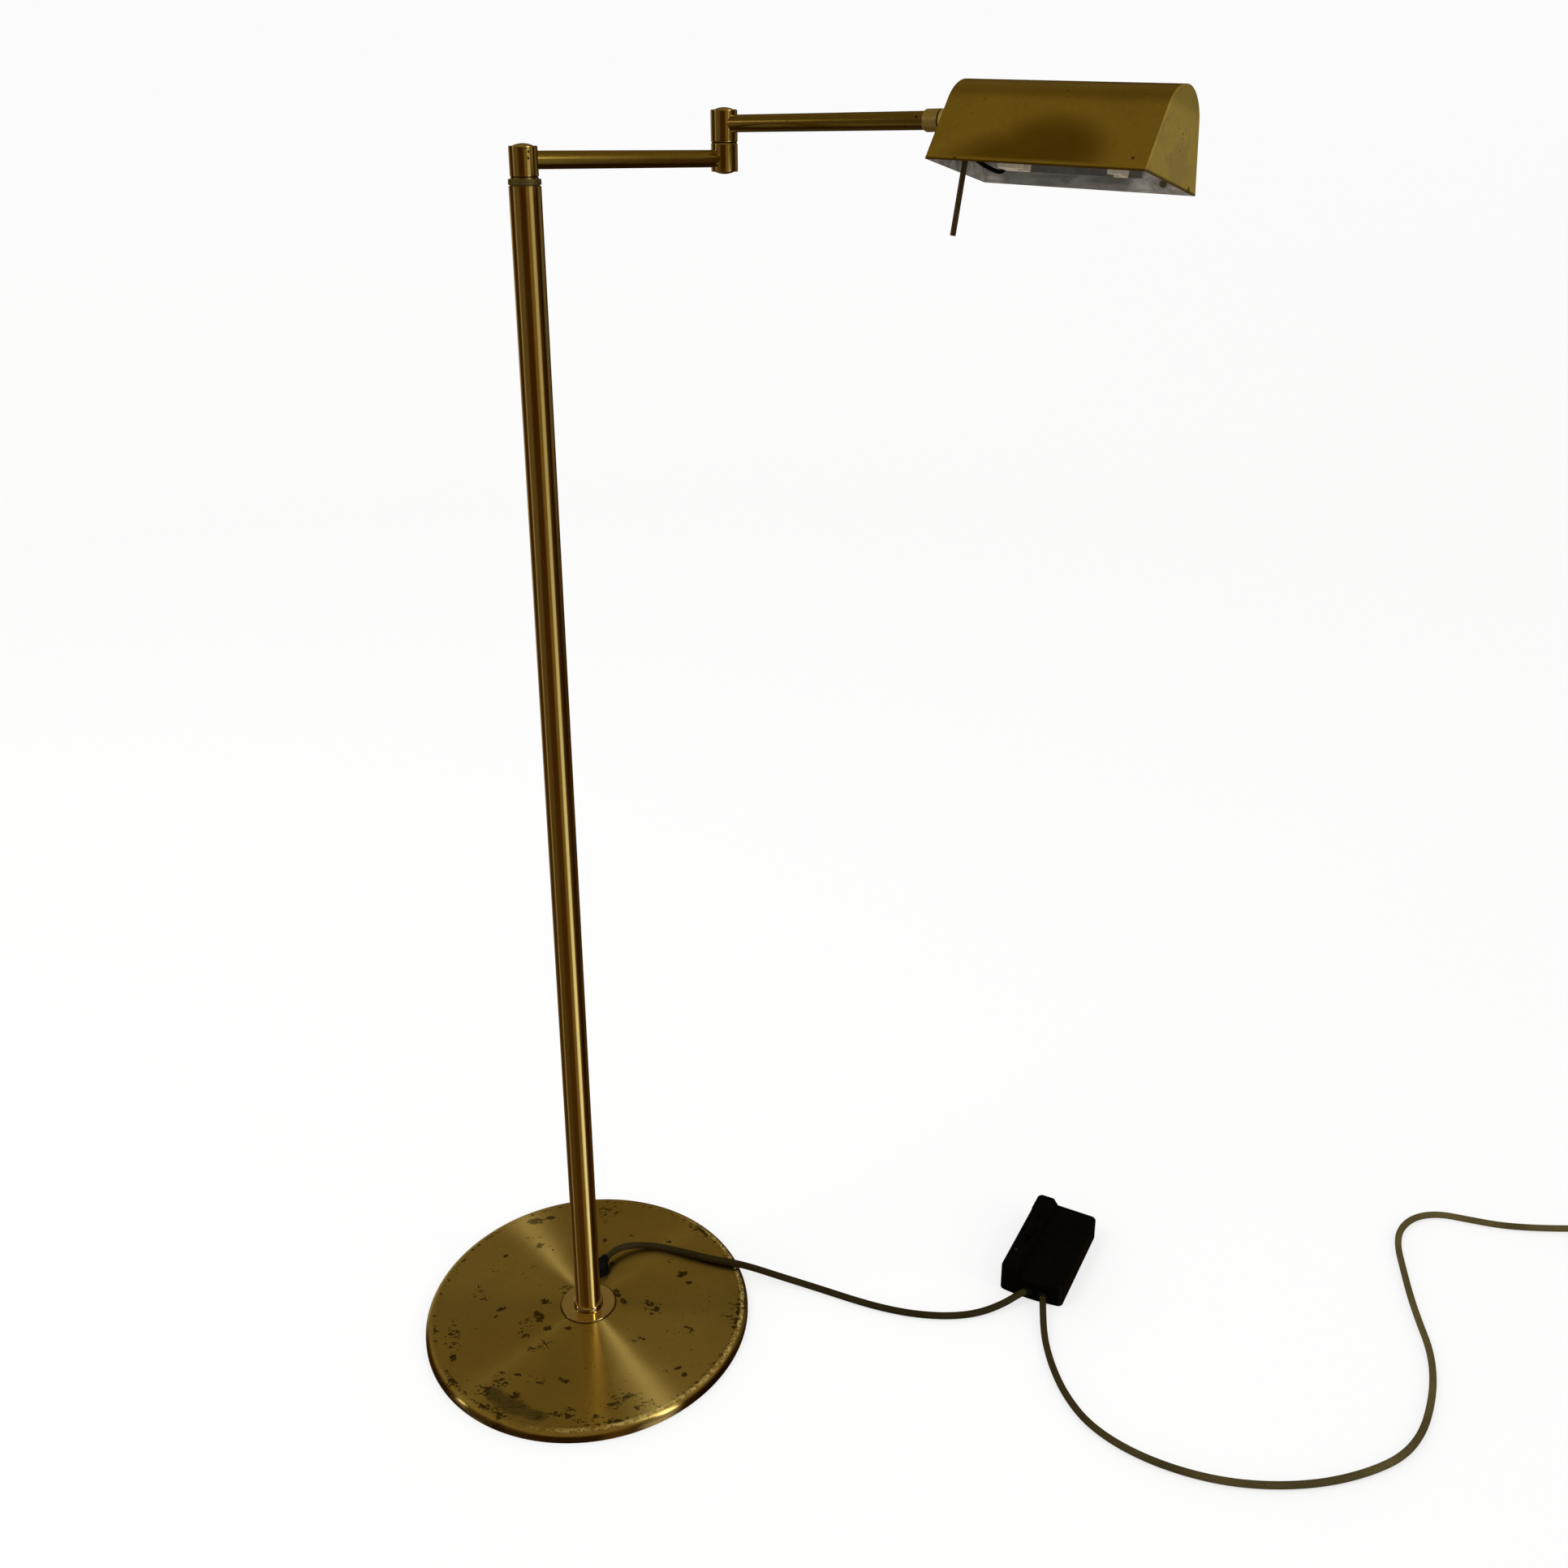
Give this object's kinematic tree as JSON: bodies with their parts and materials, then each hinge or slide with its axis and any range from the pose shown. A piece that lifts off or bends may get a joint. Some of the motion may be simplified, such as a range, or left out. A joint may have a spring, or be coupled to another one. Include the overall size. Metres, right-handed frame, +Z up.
{
  "type": "reading floor lamp",
  "caption": "Floor reading lamp: weighted round base, telescopic pole, two swing arms, rolling trough shade with pull rod, sliding foot dimmer and mains cord.",
  "frame": {"origin": "middle of the base's underside, on the floor", "axes": "+Z up along the pole; the picture looks along +Y, with +X to its right"},
  "size_m": [1.1527, 0.3256, 1.009],
  "materials": {
    "base_brass": "concentric brushed, aged lacquer",
    "polished_brass": "polished, aged",
    "tube_brass": "lacquered, lengthwise grain",
    "shade_brass": "satin lacquered",
    "iron": "rough",
    "felt": "felt",
    "steel": "satin",
    "aluminium_sheet": "satin",
    "fibre": "satin",
    "nylon": "satin",
    "black_rubber": "matte",
    "dimmer_plastic": "fine matte",
    "board": "matte",
    "lens": "clear gloss",
    "cord_pvc": "satin",
    "pin_metal": "bright",
    "porcelain": "glazed",
    "lamp_glass": "clear"
  },
  "bodies": {
    "stand": {"base_shell": "base_brass", "base_weight": "iron", "base_felt": "felt", "flange_washer": "polished_brass", "pole_bead_ring": "polished_brass", "foot_nipple": "steel", "foot_nut": "steel", "pole_foot_plug": "tube_brass", "cord_grommet": "black_rubber", "pole_tube": "tube_brass", "pole_collet": "tube_brass", "dimmer_top": "dimmer_plastic", "dimmer_bottom": "dimmer_plastic", "dimmer_screws": "steel", "dimmer_feet": "black_rubber", "dimmer_bushes": "black_rubber", "dimmer_board": "board", "dimmer_track": "dimmer_plastic", "dimmer_lens": "lens", "cord_to_dimmer": "cord_pvc", "cord_to_wall": "cord_pvc", "cord_coil": "cord_pvc", "cord_tail": "cord_pvc", "plug_body": "cord_pvc", "plug_pins": "pin_metal"},
    "clamp_ring": {"clamp_ring": "polished_brass"},
    "height_post": {"inner_tube": "tube_brass", "inner_guide": "nylon", "inner_tube_plug": "tube_brass", "pole_pivot_nipple": "steel", "pole_pivot_fixings": "steel", "pole_pivot_washer": "steel"},
    "lower_arm": {"pole_knuckle": "polished_brass", "pole_knuckle_cap": "polished_brass", "lower_arm_tube": "tube_brass", "elbow_lower_knuckle": "polished_brass", "elbow_lower_cap": "polished_brass", "elbow_nipple": "steel", "elbow_fixings": "steel", "elbow_washer": "steel"},
    "upper_arm": {"elbow_upper_knuckle": "polished_brass", "elbow_upper_cap": "polished_brass", "upper_arm_tube": "tube_brass", "swivel_sleeve": "polished_brass", "swivel_nipple": "steel", "swivel_fixings": "steel", "swivel_washer": "fibre"},
    "shade": {"shade_boss": "polished_brass", "shade_shell": "shade_brass", "shade_cap_left": "shade_brass", "shade_cap_right": "shade_brass", "reflector": "aluminium_sheet", "lamp_bracket": "steel", "shade_screws": "steel", "lamp_holders": "porcelain", "halogen_lamp": "lamp_glass", "lamp_lead": "black_rubber", "rod_handle": "polished_brass", "rod_lug": "tube_brass"},
    "dimmer_slider": {"dimmer_slider": "dimmer_plastic"}
  },
  "joints": [
    {"name": "height_slide", "type": "slide", "parent": "stand", "child": "height_post", "axis": [0, 0, 1], "range_m": [0, 0.3]},
    {"name": "clamp_ring_turn", "type": "hinge", "parent": "stand", "child": "clamp_ring", "pos_m": [0, 0, 0.9464], "axis": [0, 0, 1], "range_deg": [0, 150]},
    {"name": "lower_arm_swing", "type": "hinge", "parent": "height_post", "child": "lower_arm", "pos_m": [0, 0, 0.9602], "axis": [0, 0, 1], "range_deg": [-170, 170]},
    {"name": "elbow_swing", "type": "hinge", "parent": "lower_arm", "child": "upper_arm", "pos_m": [0.13091, 0.09269, 0.9711], "axis": [0, 0, 1], "range_deg": [-90, 232]},
    {"name": "shade_roll", "type": "hinge", "parent": "upper_arm", "child": "shade", "pos_m": [0.27728, -0.01327, 0.9841], "axis": [0.8092, -0.5857, -0.0462], "range_deg": [-85, 107]},
    {"name": "dimmer_slide", "type": "slide", "parent": "stand", "child": "dimmer_slider", "axis": [0.4726, 0.8813, 0], "range_m": [-0.014, 0.019]}
  ]
}
